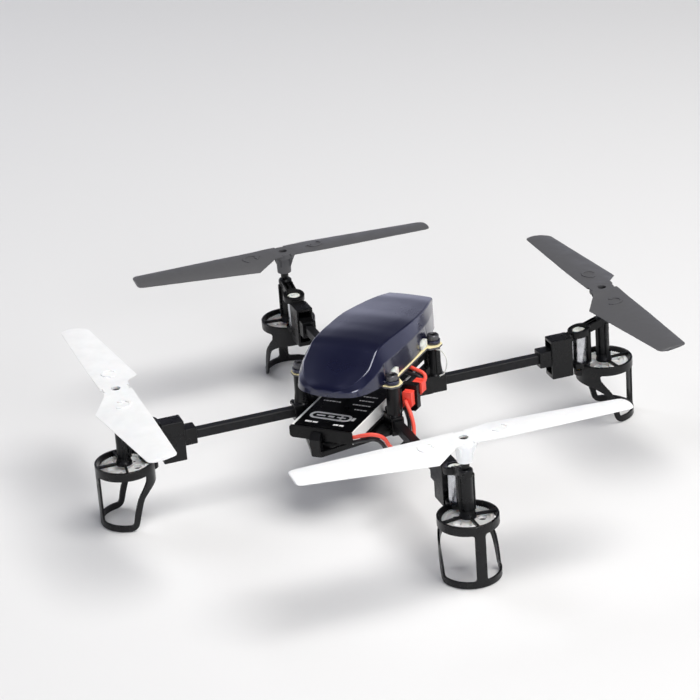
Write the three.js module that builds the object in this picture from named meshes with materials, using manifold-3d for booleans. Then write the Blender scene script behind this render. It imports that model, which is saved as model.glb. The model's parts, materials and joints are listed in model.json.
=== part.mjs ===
// Mini palm drone: a geared X-frame quadcopter with four two-blade rotors.
// Millimetres, +Z up, nose towards -Y, origin under the centre of the frame on the ground.
import * as THREE from "three";
import { mergeVertices } from "three/addons/utils/BufferGeometryUtils.js";
import Module from "manifold-3d";

const wasm = await Module();
wasm.setup();

// ---- driving dimensions -------------------------------------------------------------
const HUB = 75; // rotor axes at (+-HUB, +-HUB)
const POST = 20.7; // pillar axes at (+-POST, +-POST)
const REACH = HUB * Math.SQRT2; // rotor axis from the centre, along a boom

const BOOM = { width: 3.9, wall: 0.6, z: 31.9, inner: 24, outer: 88 };
const FRAME = { bottom: 27.6, plateTop: 30, socketTop: 35.2, socketEnd: 33.3, socketHalf: 2.7 };
const PILLAR = { radius: 2.8, top: 47.9, pilot: 1.0, pilotDepth: 9 };
const TRAY = { half: 14.3, floor: 30.2, floorTop: 31.6, nose: -47.45, wide: -33, back: 21 };
const LIP = { left: -13, right: 14.8, bottom: 33.4, top: 38.9, thick: 0.85 }; // the battery stop at the nose
const BATTERY = { half: 13.7, bottom: 31.8, top: 37.8, front: -45.6, length: 64 };
const BOARD = { half: 20.2, reach: 21.6, bottom: 48.1, top: 49.1 };
const EAR = { radius: 3, bottom: 49.3, top: 50.8 };
const SCREW = { head: 2.45, headBottom: 50.95, headTop: 53.15, shank: 0.85, tip: 40.5, socket: 1.15 };
const SHELL = 1; // canopy wall

const MOUNT = { bottom: 28.4, top: 45.4, tube: 2.5, bore: 0.83 };
const BLOCK = { inner: -25.4, outer: -15.7, half: 3.75, bottom: 22.3, top: 39.8 };
const COLLAR = { inner: -30.6, half: 3.1, bottom: 28.3, top: 35.5 };
const CAGE = { outer: 12.05, wall: 0.9, bottom: 23.6, top: 26.2 };
const SKID = { top: 23.4, leg: 2.2 }; // leg is half the outer leg's width

const MODULE = 0.3; // gear tooth module
const GEAR = { teeth: 66, bottom: 22, top: 24.5 };
const PINION = { teeth: 8, bottom: 21.8, top: 24.6 };
const CENTRES = (MODULE * (GEAR.teeth + PINION.teeth)) / 2; // gear to pinion
const MOTOR = { radius: 3, bottom: 26.6, top: 41.2, seat: 4.3, shaft: 0.4 };

const SHAFT = { radius: 0.75, bottom: 21.2, top: 57 };
const NIPPLE = { radius: 1.7, bottom: 45.7, top: 48.2 };
const ROTOR = { hubTop: 58.4, bossBottom: 48.4, boss: 3.3, tip: 68.3, capHole: 1.85, capDepth: 1.2 };

const deg = THREE.MathUtils.degToRad;

// ---- solids: three.js shapes carried into manifold-3d for joining and cutting ---------
function solid(geometry) {
  const bare = geometry.clone();
  bare.deleteAttribute("normal");
  bare.deleteAttribute("uv");
  const merged = mergeVertices(bare, 1e-4);
  return new wasm.Manifold(
    new wasm.Mesh({
      numProp: 3,
      vertProperties: new Float32Array(merged.attributes.position.array),
      triVerts: new Uint32Array(merged.index.array),
    }),
  );
}

function geometryOf(body) {
  const mesh = body.getMesh();
  const geometry = new THREE.BufferGeometry();
  geometry.setAttribute("position", new THREE.BufferAttribute(mesh.vertProperties, 3));
  geometry.setIndex(new THREE.BufferAttribute(mesh.triVerts, 1));
  geometry.computeVertexNormals();
  return geometry;
}

const join = (...bodies) => bodies.reduce((a, b) => a.add(b));
const cut = (body, ...tools) => tools.reduce((a, b) => a.subtract(b), body);

// A prism over a 2-D outline in X and Y, from z0 to z1, with straight-sided holes.
function prism(points, z0, z1, holes = []) {
  const shape = new THREE.Shape(points.map(([x, y]) => new THREE.Vector2(x, y)));
  for (const hole of holes) shape.holes.push(new THREE.Path(hole.map(([x, y]) => new THREE.Vector2(x, y))));
  const geometry = new THREE.ExtrudeGeometry(shape, { depth: z1 - z0, bevelEnabled: false });
  return solid(geometry.translate(0, 0, z0));
}

// A prism over an outline in X and Z, from y0 to y1.
function prismAlongY(points, y0, y1) {
  const shape = new THREE.Shape(points.map(([x, z]) => new THREE.Vector2(x, z)));
  const geometry = new THREE.ExtrudeGeometry(shape, { depth: y1 - y0, bevelEnabled: false });
  return solid(geometry.rotateX(Math.PI / 2).translate(0, y1, 0));
}

function box(x0, x1, y0, y1, z0, z1) {
  const geometry = new THREE.BoxGeometry(x1 - x0, y1 - y0, z1 - z0);
  return solid(geometry.translate((x0 + x1) / 2, (y0 + y1) / 2, (z0 + z1) / 2));
}

// A round bar along Z, or a cone where the top radius differs.
function rod(radius, z0, z1, sides = 20, x = 0, y = 0, topRadius = radius) {
  const geometry = new THREE.CylinderGeometry(topRadius, radius, z1 - z0, sides);
  return solid(geometry.rotateX(Math.PI / 2).translate(x, y, (z0 + z1) / 2));
}

// A solid through closed sections that all have the same number of points.
function loft(sections) {
  const n = sections[0].length;
  const triangles = [];
  for (let s = 0; s + 1 < sections.length; s++)
    for (let i = 0; i < n; i++) {
      const a = s * n + i;
      const b = s * n + ((i + 1) % n);
      triangles.push(a, b, b + n, a, b + n, a + n);
    }
  const last = (sections.length - 1) * n;
  for (let i = 1; i + 1 < n; i++) {
    triangles.push(0, i + 1, i);
    triangles.push(last, last + i, last + i + 1);
  }
  const geometry = new THREE.BufferGeometry();
  geometry.setAttribute("position", new THREE.Float32BufferAttribute(sections.flat(2), 3));
  geometry.setIndex(triangles);
  const body = solid(geometry);
  if (body.volume() > 0) return body;
  const flipped = [];
  for (let i = 0; i < triangles.length; i += 3)
    flipped.push(triangles[i], triangles[i + 2], triangles[i + 1]);
  geometry.setIndex(flipped);
  return solid(geometry);
}

// A round lead along a smooth curve through the given points.
function lead(points, radius, steps, sides = 8) {
  const path = new THREE.CatmullRomCurve3(points.map((p) => new THREE.Vector3(...p)));
  const section = new THREE.Shape();
  section.absarc(0, 0, radius, 0, 2 * Math.PI);
  return new THREE.ExtrudeGeometry(section, { steps, extrudePath: path, curveSegments: sides / 2 });
}

// Straight-line reading of a short station list [[place, value], ...].
function along(stations, place) {
  const last = stations.length - 1;
  if (place <= stations[0][0]) return stations[0][1];
  for (let i = 0; i < last; i++) {
    const [p0, v0] = stations[i];
    const [p1, v1] = stations[i + 1];
    if (place <= p1) return v0 + ((v1 - v0) * (place - p0)) / (p1 - p0);
  }
  return stations[last][1];
}

// ---- the scene graph --------------------------------------------------------------------
const drone = new THREE.Group();

const colours = {
  black: [0x1b1c1e, 0.45, 0],
  blackSatin: [0x242527, 0.38, 0],
  carbon: [0x2b2c2e, 0.35, 0],
  navy: [0x10143a, 0.16, 0],
  white: [0xf2f3f5, 0.4, 0],
  grey: [0x5c5d60, 0.45, 0],
  board: [0x1a1b1d, 0.5, 0],
  label: [0x0a0a0b, 0.4, 0],
  red: [0xf03a2c, 0.35, 0],
  oxide: [0x2e2f31, 0.4, 1],
  silver: [0xc9cbd0, 0.25, 1],
  brass: [0xb99a54, 0.3, 1],
  clear: [0xd9dade, 0.4, 0],
};

function material(name) {
  const [color, roughness, metalness] = colours[name];
  return new THREE.MeshStandardMaterial({ color, roughness, metalness });
}

function place(name, body, colour, parent = drone) {
  const geometry = body.isBufferGeometry ? body : geometryOf(body);
  const mesh = new THREE.Mesh(geometry, material(colour));
  mesh.name = name;
  parent.add(mesh);
  return mesh;
}

// The four arms: which way each points, how its rotor turns and the rotor's colour.
const arms = [
  { tag: "front_left", sx: -1, sy: -1, spin: 1, colour: "white" },
  { tag: "front_right", sx: 1, sy: -1, spin: -1, colour: "white" },
  { tag: "rear_right", sx: 1, sy: 1, spin: 1, colour: "grey" },
  { tag: "rear_left", sx: -1, sy: 1, spin: -1, colour: "grey" },
];
const corners = arms.map((arm) => [arm.sx, arm.sy]);
const turned = (body, degrees) => body.rotate([0, 0, degrees]);
const armAngle = (arm) => (Math.atan2(arm.sy, arm.sx) * 180) / Math.PI;

// ---- main frame: keel plate, four boom sockets with webs and pillars ---------------------
function keelPlate() {
  const side = 21.1;
  const nose = { half: 2.1, y: -51.5 };
  const outline = [
    [-nose.half, nose.y], [nose.half, nose.y], [side, -23.6], [side, -17], [16, -12],
    [16, 12], [side, 17], [side, 21.5], [-side, 21.5], [-side, 17], [-16, 12], [-16, -12],
    [-side, -17], [-side, -23.6],
  ];
  const bow = [[-3, -43.5], [3, -43.5], [11.5, -29], [-11.5, -29]];
  const bay = (y0, y1) => [[-12, y0], [12, y0], [12, y1], [-12, y1]];
  return prism(outline, FRAME.bottom, FRAME.plateTop, [bow, bay(-25, -7), bay(-2, 16)]);
}

// The strut leans a little to the left as it rises, and slopes back to the battery stop.
function noseStrut() {
  const front = -51.5;
  const back = -48.6;
  const face = [[-2.1, FRAME.bottom], [2.1, FRAME.bottom], [1.3, 37.4], [-3, 37.4]];
  const slope = [[front - 1, 34.2], [back + 1, 38.2], [back + 1, 40], [front - 1, 40]];
  const above = loft([-6, 6].map((x) => slope.map(([y, z]) => [x, y, z])));
  return prismAlongY(face, front, back).subtract(above);
}

function socketAt(arm) {
  const { bottom, socketTop, socketEnd, socketHalf } = FRAME;
  const block = box(23.3, socketEnd, -socketHalf, socketHalf, bottom, socketTop);
  const web = prismAlongY([[21, 33], [29.6, 33], [29.6, 41.4], [25.2, 38.2], [21, 35.6]], -1.2, 1.2);
  const fin = prismAlongY([[28, 33], [32.6, 33], [32.6, 35.4], [31.6, 44], [28, 44]], -0.6, 0.6);
  const half = BOOM.width / 2 + 0.1;
  const hole = box(BOOM.inner - 0.2, socketEnd + 1, -half, half, BOOM.z - half, BOOM.z + half);
  return [turned(join(block, web, fin), armAngle(arm)), turned(hole, armAngle(arm))];
}

function mainFrame() {
  let body = join(keelPlate(), noseStrut());
  for (const side of [-1, 1]) {
    const rail = box(16.6, 18.4, -19, 19, 37, 40);
    body = body.add(side < 0 ? rail.mirror([1, 0, 0]) : rail);
  }
  const deckRail = box(17.6, 19, 2.4, 18.2, 43.8, 47.8);
  const deckPost = box(17.2, 19.4, 17.8, 21.2, 36, 47.8);
  body = join(body, deckRail, deckPost);
  for (const arm of arms) {
    const [socket, hole] = socketAt(arm);
    const x = arm.sx * POST;
    const y = arm.sy * POST;
    body = join(body, socket, rod(PILLAR.radius, FRAME.socketTop - 0.5, PILLAR.top, 16, x, y));
    const pilot = rod(PILLAR.pilot, PILLAR.top - PILLAR.pilotDepth, PILLAR.top + 1, 12, x, y);
    body = cut(body, hole, pilot);
  }
  const ear = box(-26.5, -23.4, -20.6, -18.6, 33.4, 34.8);
  return body.add(ear);
}
place("main_frame", mainFrame(), "black");

// ---- battery, its tray and the leads ------------------------------------------------------
function tray() {
  const { half, floor, floorTop, nose, wide, back } = TRAY;
  const outline = [[-4.6, nose], [4.6, nose], [half, wide], [half, back], [-half, back], [-half, wide]];
  const vents = [-30, -19, -8, 3].map((y) => [[-9, y], [9, y], [9, y + 7], [-9, y + 7]]);
  const plate = prism(outline, floor, floorTop, vents);
  const face = nose - LIP.thick;
  const lip = box(LIP.left, LIP.right, face, nose, LIP.bottom, LIP.top);
  const neck = box(-4.4, 1.2, face, nose + 0.6, floor, LIP.bottom + 0.5);
  const stop = box(-9, 9, back - 1.2, back, floor, 34.5);
  return join(plate, lip, neck, stop);
}
place("battery_tray", tray(), "blackSatin");

function battery() {
  const { half, bottom, top, front, length } = BATTERY;
  const soft = 0.7;
  const section = [
    [-half, bottom + soft], [-half + soft, bottom], [half - soft, bottom], [half, bottom + soft],
    [half, top - soft], [half - soft, top], [-half + soft, top], [-half, top - soft],
  ];
  return prismAlongY(section, front, front + length);
}
place("battery_pack", battery(), "label");

const LEAD = 0.8; // radius of a power lead
const batteryLeadRed = [
  [9.6, -46.45, 36.1], [14.3, -46.5, 36.2], [18.3, -47, 37.7], [22.4, -46.8, 38.7],
  [25.2, -45.3, 37.9], [26.8, -43.4, 35.7], [27.3, -41, 31.9], [27.8, -37.4, 28.7],
  [28.8, -33.2, 27.2], [30.2, -29.6, 27.3], [31.3, -26.6, 29.2], [30.8, -24.6, 32.2],
  [29.4, -22.4, 35.1],
  [27.2, -20.2, 38.1], [25.4, -18.7, 39.9], [24.6, -17.4, 40.4],
];
const batteryLeadBlack = [
  [9.6, -46.45, 34.2], [14, -46.5, 34.1], [17.6, -47, 35.4], [21.2, -46.7, 36.2],
  [23.8, -45, 35.7], [25.1, -43.1, 33.6], [25.6, -40.6, 30.2], [26, -37, 27.6],
  [27, -32.8, 26.6], [28, -28.4, 27.2], [28.4, -24.4, 29.4], [27.4, -21.2, 32.4],
  [25.8, -19.2, 35.2], [25, -18.6, 36.9], [24.6, -17.5, 37.9],
];
const boardLeadRed = [
  [17.8, 0.5, 47.1], [19.6, -0.2, 47.1], [22.4, -1.3, 46.9], [25, -2.2, 46.7],
  [26.9, -2.9, 45.9], [27.5, -4, 44.7], [27.4, -5.7, 43.6],
];
const boardLeadBlack = [
  [17.4, -1.8, 45.4], [20.4, -2.4, 45.2], [23.2, -2.8, 45], [25.1, -3.3, 44.1],
  [25.7, -4.1, 42.6], [25.6, -5.2, 41.5],
];
place("battery_lead_red", lead(batteryLeadRed, LEAD, 20), "red");
place("battery_lead_black", lead(batteryLeadBlack, LEAD, 20), "label");
place("board_lead_red", lead(boardLeadRed, LEAD, 10), "red");
place("board_lead_black", lead(boardLeadBlack, LEAD, 10), "label");

function bracket() {
  const plate = box(21.3, 28, -13.7, -10.5, 34.4, 45.9);
  const arm = box(18.7, 22, -13.2, -11, 36.6, 40.4);
  const window = box(23.6, 26.6, -14, -10, 37.6, 43.6);
  const chamfer = prismAlongY([[27, 34.3], [28.1, 34.3], [28.1, 35.6]], -14, -10);
  return cut(join(plate, arm), window, chamfer);
}
place("connector_bracket", bracket(), "black");

function batteryPlug() {
  const body = box(23.1, 27.1, -17.3, -14, 36.9, 44.1);
  const pins = join(body, box(24, 26.3, -14.2, -12.4, 38.2, 42.8));
  const entry = (x, z) => rod(LEAD + 0.3, -1, 1.5, 8).rotate([90, 0, 0]).translate([x, -17.2, z]);
  return cut(pins, entry(24.6, 40.4), entry(24.6, 37.9));
}
place("battery_plug", batteryPlug(), "red");

function boardSocket() {
  const body = box(24.5, 28.7, -10.3, -6, 39.9, 45.8);
  return body.add(box(24.6, 26.3, -12.1, -10.2, 40.2, 43.2));
}
place("board_socket", boardSocket(), "red");

// ---- control board ---------------------------------------------------------------------
function controlBoard() {
  const { half, reach, bottom, top } = BOARD;
  // Corner pad about its pillar: the first quadrant points out of the board.
  const pad = [[3.6, 1.1], [1.1, 3.5], [-2.6, 3.5], [-5.4, 0.8], [-5.4, -5.4], [0.8, -5.4], [3.6, -2.6]];
  let body = box(-half, half, -reach, reach, bottom, top);
  for (const [sx, sy] of corners) {
    const outline = pad.map(([u, v]) => [sx * (POST + u), sy * (POST + v)]);
    body = body.add(prism(outline, bottom, top));
  }
  for (const [sx, sy] of corners) {
    body = body.subtract(rod(1.1, bottom - 1, top + 1, 12, sx * POST, sy * POST));
  }
  return body;
}
place("control_board", controlBoard(), "board");

for (const arm of arms) {
  const x = arm.sx * 17.9;
  const y = arm.sy * 14.4;
  const body = box(x - 1.9, x + 1.9, y - 2.4, y + 2.4, 49.3, 52.6);
  place(`motor_plug_${arm.tag}`, body, "clear");
}

const antenna = [
  [23, 18.3, 47.5], [25.4, 18.1, 47.2], [27.6, 17.6, 44.6], [27.8, 17.2, 41], [26.4, 17.4, 37.6],
  [24.2, 17.8, 35.9],
];
place("antenna_wire", lead(antenna, 0.3, 14, 6), "clear");

// ---- canopy ------------------------------------------------------------------------------
// Half widths and heights of the hood at stations along Y, nose first.
const RIM = 49.3;
const hood = {
  stations: [-40.2, -39.6, -38, -35.5, -31, -26, -20, -12, 0, 12, 24, 34, 40, 46.3],
  base: [[-40.2, 3], [-39.6, 6.5], [-38, 11], [-35.5, 14], [-31, 16.3], [-26, 17.8], [-12, 19.2], [0, 19.6],
    [12, 19.2], [24, 17.9], [34, 15.3], [46.3, 10.8]],
  crease: [[-40.2, 2.8], [-39.6, 5.2], [-38, 7.1], [-35.5, 10.4], [-31, 13.9], [-26, 14.7], [-12, 14.9],
    [6, 15.8], [24, 14.8], [34, 13], [46.3, 9.8]],
  creaseTop: [[-40.2, 49.4], [-38, 50.6], [-35.5, 53.2], [-31, 56.3], [-28, 57.5], [-24, 60.4], [-20, 62.7],
    [-14, 63.2], [0, 62.7], [12, 61.9], [24, 60.7], [34, 59.8], [46.3, 57.9]],
  under: [[34, RIM], [46.3, 56.4]],
};

function hoodSection(y, inset) {
  const base = Math.max(along(hood.base, y) - inset, 0.5);
  const crease = Math.max(along(hood.crease, y) - inset, 0.4);
  const under = along(hood.under, y);
  const low = inset ? under + (y > 34 ? inset * 1.6 : -2) : under;
  const top = Math.max(along(hood.creaseTop, y) - inset, low + 0.2);
  const shoulder = Math.min(57.4 - inset, low + (top - low) * 0.62);
  const crown = top + 0.9;
  const wide = Math.max(base - 0.4, crease);
  return [
    [-base, y, low], [base, y, low], [wide, y, shoulder], [crease, y, top], [0, y, crown],
    [-crease, y, top], [-wide, y, shoulder],
  ];
}

function canopy() {
  const outer = loft(hood.stations.map((y) => hoodSection(y, 0)));
  const inner = loft(
    hood.stations.slice(1).map((y) => hoodSection(Math.min(y, 46.3 - SHELL), SHELL)),
  );
  let body = outer.subtract(inner);
  for (const [sx, sy] of corners) {
    const x = sx * POST;
    const y = sy * POST;
    const ear = rod(EAR.radius, EAR.bottom, EAR.top, 20, x, y);
    const [near, far] = [x, sx * 16.6].sort((a, b) => a - b);
    const tab = box(near, far, y - 2.4, y + 2.4, EAR.bottom, EAR.top);
    body = join(body, ear, tab);
    body = cut(
      body,
      rod(1.1, EAR.bottom - 1, EAR.top + 1, 12, x, y),
      rod(SCREW.head + 0.35, EAR.top, 56, 20, x, y),
      box(sx * 18 - 3, sx * 18 + 3, sy * 14.4 - 2.9, sy * 14.4 + 2.9, RIM - 1, 53.2),
    );
  }
  return body;
}
place("canopy", canopy(), "navy");

for (const arm of arms) {
  const head = rod(SCREW.head, SCREW.headBottom, SCREW.headTop, 16);
  const shank = rod(SCREW.shank, SCREW.tip, SCREW.headBottom + 0.1, 8);
  const socket = rod(SCREW.socket, SCREW.headTop - 1.2, SCREW.headTop + 1, 6);
  const group = new THREE.Group();
  group.position.set(arm.sx * POST, arm.sy * POST, 0);
  drone.add(group);
  place(`canopy_screw_${arm.tag}`, cut(head.add(shank), socket), "oxide", group);
}

// ---- motor mount: everything here is in the arm's own frame, rotor axis at x = 0 -----------
function motorMount() {
  const { inner, outer, half, bottom, top } = BLOCK;
  const tube = rod(MOUNT.tube, MOUNT.bottom - 0.2, MOUNT.top, 12);
  const ribTop = MOUNT.top - 2.6;
  const ribs = [90, 180, 270].map((a) => turned(box(0, 3.5, -0.45, 0.45, MOUNT.bottom, ribTop), a));
  const flange = rod(3, CAGE.top - 1.2, MOUNT.bottom, 12);
  const spoke = box(0, CAGE.outer - 0.4, -0.5, 0.5, CAGE.top - 1.2, CAGE.top);
  const spokes = [0, 82, -82].map((a) => turned(spoke, a));
  const ring = rod(CAGE.outer, CAGE.bottom, CAGE.top, 28).subtract(
    rod(CAGE.outer - CAGE.wall, CAGE.bottom - 1, CAGE.top + 1, 28),
  );
  const seat = rod(MOTOR.seat, 25, 27.2, 16, -CENTRES);
  const block = box(inner, outer, -half, half, bottom, top);
  const collar = box(COLLAR.inner, inner + 0.5, -COLLAR.half, COLLAR.half, COLLAR.bottom, COLLAR.top);
  const under = [[-17.4, 34.4], [-15.7, 34.4], [-15.7, 35.4], [-15.2, 37.2], [-14.1, 38.3],
    [-12.8, 38.8], [-9.6, 39], [-4.7, 40.4], [1.2, 42.2]];
  const over = [[2.7, 43.4], [1.3, 44.9], [-1.2, 45.1], [-5.4, 43.8], [-10, 42.3], [-15.4, 40.4],
    [-17.4, 39.4]];
  const arm = prismAlongY([...under, ...over], -2.35, 2.35);
  const eye = rod(4.75, -1.4, 1.4, 16).rotate([0, -10, 0]).translate([-CENTRES, 0, 40.5]);
  const post = box(-7.8, -6.2, -1.4, 1.4, 26, 41);
  const body = join(tube, ...ribs, flange, ...spokes, ring, seat, block, collar, arm, eye, post);
  const boomHalf = BOOM.width / 2 + 0.1;
  const tip = BOOM.outer - REACH + 0.2;
  return cut(
    body,
    rod(MOUNT.bore, CAGE.bottom - 1, MOUNT.top + 1, 10),
    rod(MOTOR.radius + 0.12, 26.4, 44, 16, -CENTRES),
    rod(1.9, 20, 27, 10, -CENTRES),
    box(COLLAR.inner - 1, tip, -boomHalf, boomHalf, BOOM.z - boomHalf, BOOM.z + boomHalf),
    box(inner - 1, inner + 7, -half + 0.9, half - 0.9, COLLAR.top + 0.1, top - 1),
    box(inner - 1, inner + 7, -half + 0.9, half - 0.9, bottom + 1, COLLAR.bottom - 0.1),
    ...[-1, 1].map((s) => prism([[-6, s * 1.7], [-3.4, s * 1.7], [-3.4, s * 0.5]], 38, 46)),
  );
}

// A cutter for the round skid wall: it spans two angles that change with height.
function wallCutter(levels, from, to, steps) {
  const inside = CAGE.outer - 3;
  const outside = CAGE.outer + 2.5;
  return loft(
    levels.map((z) => {
      const a = from(z);
      const b = to(z);
      const spread = Array.from({ length: steps + 1 }, (_, i) => deg(a + ((b - a) * i) / steps));
      const arc = (r, angles) => angles.map((t) => [r * Math.cos(t), r * Math.sin(t), z]);
      return [...arc(outside, spread), ...arc(inside, spread.reverse())];
    }),
  );
}

// Landing skid: a straight outer leg, two swept side legs, a C-shaped ground band and a rim.
const legInner = [[2.7, 83], [6, 86], [13.6, 98], [18, 114], [20.6, 124]];
const legOuter = [[-1, 72], [0, 77], [0.7, 86], [2, 92.5], [4, 96], [7, 100], [13, 111], [15.6, 127],
  [17.1, 148], [17.6, 176]];

function landingSkid() {
  const wall = rod(CAGE.outer, 0, SKID.top, 36).subtract(rod(CAGE.outer - CAGE.wall, -1, SKID.top + 1, 36));
  const legHalf = THREE.MathUtils.radToDeg(SKID.leg / CAGE.outer);
  const sideLevels = legInner.map(([z]) => z);
  const side = wallCutter(sideLevels, () => legHalf, (z) => along(legInner, z), 4);
  const backLevels = legOuter.map(([z]) => z);
  const back = wallCutter(backLevels, (z) => along(legOuter, z), (z) => 360 - along(legOuter, z), 6);
  const pinionRoom = rod(2.2, SKID.top - 2, SKID.top + 1, 12, -CENTRES);
  return cut(wall, side, side.mirror([0, 1, 0]), back, pinionRoom);
}

// A spur gear outline with pointed teeth, for a running mesh with backlash.
function toothed(teeth, z0, z1, addendum, dedendum, phase = 0) {
  const pitch = (MODULE * teeth) / 2;
  const points = Array.from({ length: 2 * teeth }, (_, i) => {
    const angle = (Math.PI * i) / teeth + phase;
    const r = i % 2 ? pitch - dedendum : pitch + addendum;
    return [r * Math.cos(angle), r * Math.sin(angle)];
  });
  return prism(points, z0, z1);
}

function mainGear() {
  const rim = toothed(GEAR.teeth, GEAR.bottom, GEAR.top, 0.22, 0.38, Math.PI / GEAR.teeth);
  const windows = [0, 72, 144, 216, 288].map((a) =>
    turned(rod(1.9, GEAR.bottom - 1, GEAR.top + 1, 8, 6), a),
  );
  return cut(rim, rod(SHAFT.radius + 0.05, 10, 30, 10), ...windows);
}

function pinion() {
  const rim = toothed(PINION.teeth, PINION.bottom, PINION.top, 0.22, 0.34);
  return rim.add(rod(MOTOR.shaft, PINION.top - 0.1, MOTOR.bottom - 0.2, 10));
}

function motor() {
  const can = rod(MOTOR.radius, MOTOR.bottom, MOTOR.top - 1.6, 16);
  const cap = rod(MOTOR.radius - 0.25, MOTOR.top - 1.7, MOTOR.top, 12);
  const bearing = rod(1.1, MOTOR.top - 0.2, MOTOR.top + 0.4, 8);
  return join(can, cap, bearing);
}

// ---- rotor: two twisted, cambered blades on a boss; leading edge towards +Y --------------
const blade = {
  stations: [2, 5.1, 14.9, 30, 48, 66.3, 67.7, 68.3],
  lead: [[2, 6], [30, 6.1], [66.3, 5.6], [67.7, 4.9], [68.3, 3.6]],
  trail: [[2, -6], [5.1, -6.1], [14.9, -12.7], [66.3, -6.3], [67.7, -5.6], [68.3, -4.2]],
  leadZ: [[2, -0.6], [15, -0.2], [68.3, -0.4]],
  trailZ: [[2, -0.9], [5.1, -1.3], [14.9, -2.9], [68.3, -1.2]],
};

function bladeSection(u) {
  const v0 = along(blade.trail, u);
  const v1 = along(blade.lead, u);
  const z0 = along(blade.trailZ, u);
  const z1 = along(blade.leadZ, u);
  const camber = 0.05 * (v1 - v0);
  const thick = 1.3 - (0.6 * u) / ROTOR.tip;
  const at = (s, dz) => [
    u, v0 + (v1 - v0) * s,
    ROTOR.hubTop - 0.6 + z0 + (z1 - z0) * s + 4 * camber * s * (1 - s) * 0.9 + dz,
  ];
  return [
    at(0, -0.15), at(0.35, -thick / 2), at(0.75, -thick / 2), at(1, -0.15),
    at(1, 0.15), at(0.75, thick / 2), at(0.35, thick / 2), at(0, 0.15),
  ];
}

function rotor() {
  const wing = loft(blade.stations.map(bladeSection));
  const hub = rod(6, ROTOR.hubTop - 2.4, ROTOR.hubTop, 16);
  const boss = rod(ROTOR.boss - 0.25, ROTOR.bossBottom, ROTOR.hubTop - 1.5, 16, 0, 0, ROTOR.boss);
  const opposite = wing.rotate([0, 0, 180]);
  return cut(
    join(wing, opposite, hub, boss),
    rod(SHAFT.radius + 0.05, ROTOR.bossBottom - 1, ROTOR.hubTop + 1, 10),
    rod(ROTOR.capHole, ROTOR.hubTop - ROTOR.capDepth, ROTOR.hubTop + 1, 12),
  );
}

// ---- the four arms -----------------------------------------------------------------------
function boom() {
  const { width, wall, z, inner, outer } = BOOM;
  const h = width / 2;
  const body = box(inner, outer, -h, h, z - h, z + h);
  return body.subtract(box(inner - 1, outer + 1, -h + wall, h - wall, z - h + wall, z + h - wall));
}

const mountBody = motorMount();
const skidBody = landingSkid();
const rotorBody = rotor();
const gearBody = mainGear();
const pinionBody = pinion();
const nippleBody = cut(
  rod(NIPPLE.radius, NIPPLE.bottom, NIPPLE.top, 12),
  rod(SHAFT.radius + 0.05, 0, 60, 10),
);

for (const arm of arms) {
  const angle = deg(armAngle(arm));
  const radial = new THREE.Group();
  radial.rotation.z = angle;
  drone.add(radial);
  place(`boom_${arm.tag}`, boom(), "carbon", radial);

  const station = new THREE.Group();
  station.position.set(arm.sx * HUB, arm.sy * HUB, 0);
  station.rotation.z = angle;
  drone.add(station);
  place(`motor_mount_${arm.tag}`, mountBody, "black", station);
  place(`landing_skid_${arm.tag}`, skidBody, "black", station);
  place(`motor_${arm.tag}`, motor(), "silver", station).position.x = -CENTRES;
  place(`pinion_${arm.tag}`, pinionBody, "brass", station).position.x = -CENTRES;
  place(`main_gear_${arm.tag}`, gearBody, "white", station);
  place(`rotor_shaft_${arm.tag}`, rod(SHAFT.radius, SHAFT.bottom, SHAFT.top, 10), "oxide", station);
  place(`shaft_collar_${arm.tag}`, nippleBody, "black", station);

  const swing = new THREE.Group();
  swing.position.set(arm.sx * HUB, arm.sy * HUB, 0);
  swing.rotation.z = arm.spin > 0 ? deg(135) : deg(45);
  swing.scale.y = arm.spin;
  drone.add(swing);
  place(`rotor_${arm.tag}`, rotorBody, arm.colour, swing);
}

export default drone;
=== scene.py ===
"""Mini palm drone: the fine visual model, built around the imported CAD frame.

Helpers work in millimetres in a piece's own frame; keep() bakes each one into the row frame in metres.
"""

import json
import math

import bmesh
import bpy
from mathutils import Matrix, Vector


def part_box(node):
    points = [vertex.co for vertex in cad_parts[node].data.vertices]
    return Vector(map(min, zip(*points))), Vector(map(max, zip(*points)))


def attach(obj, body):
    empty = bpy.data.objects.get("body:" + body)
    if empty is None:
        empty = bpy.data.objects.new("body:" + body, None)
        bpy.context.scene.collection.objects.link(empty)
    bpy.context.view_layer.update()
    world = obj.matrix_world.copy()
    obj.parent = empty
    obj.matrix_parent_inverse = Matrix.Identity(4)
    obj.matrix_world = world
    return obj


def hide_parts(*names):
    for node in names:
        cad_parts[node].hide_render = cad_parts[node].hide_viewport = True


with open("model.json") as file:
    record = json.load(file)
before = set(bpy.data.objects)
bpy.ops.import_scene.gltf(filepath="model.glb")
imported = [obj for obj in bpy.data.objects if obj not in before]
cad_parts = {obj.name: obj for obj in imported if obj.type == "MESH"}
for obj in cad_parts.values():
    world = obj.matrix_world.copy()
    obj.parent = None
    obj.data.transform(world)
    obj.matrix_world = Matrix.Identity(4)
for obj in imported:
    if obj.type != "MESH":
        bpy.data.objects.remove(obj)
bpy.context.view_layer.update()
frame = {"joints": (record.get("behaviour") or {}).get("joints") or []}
MM = 0.001
SCENE = bpy.context.scene

# ---- places and sizes taken from the frame, in millimetres ----
TAGS = ("front_left", "front_right", "rear_right", "rear_left")
JOINTS = {joint["name"]: joint for joint in frame["joints"]}
HUBS = {tag: Vector(JOINTS[f"rotor_spin_{tag}"]["pos_m"]) / MM for tag in TAGS}


def low_high(node):
    low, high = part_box(node)
    return low / MM, high / MM


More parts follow.
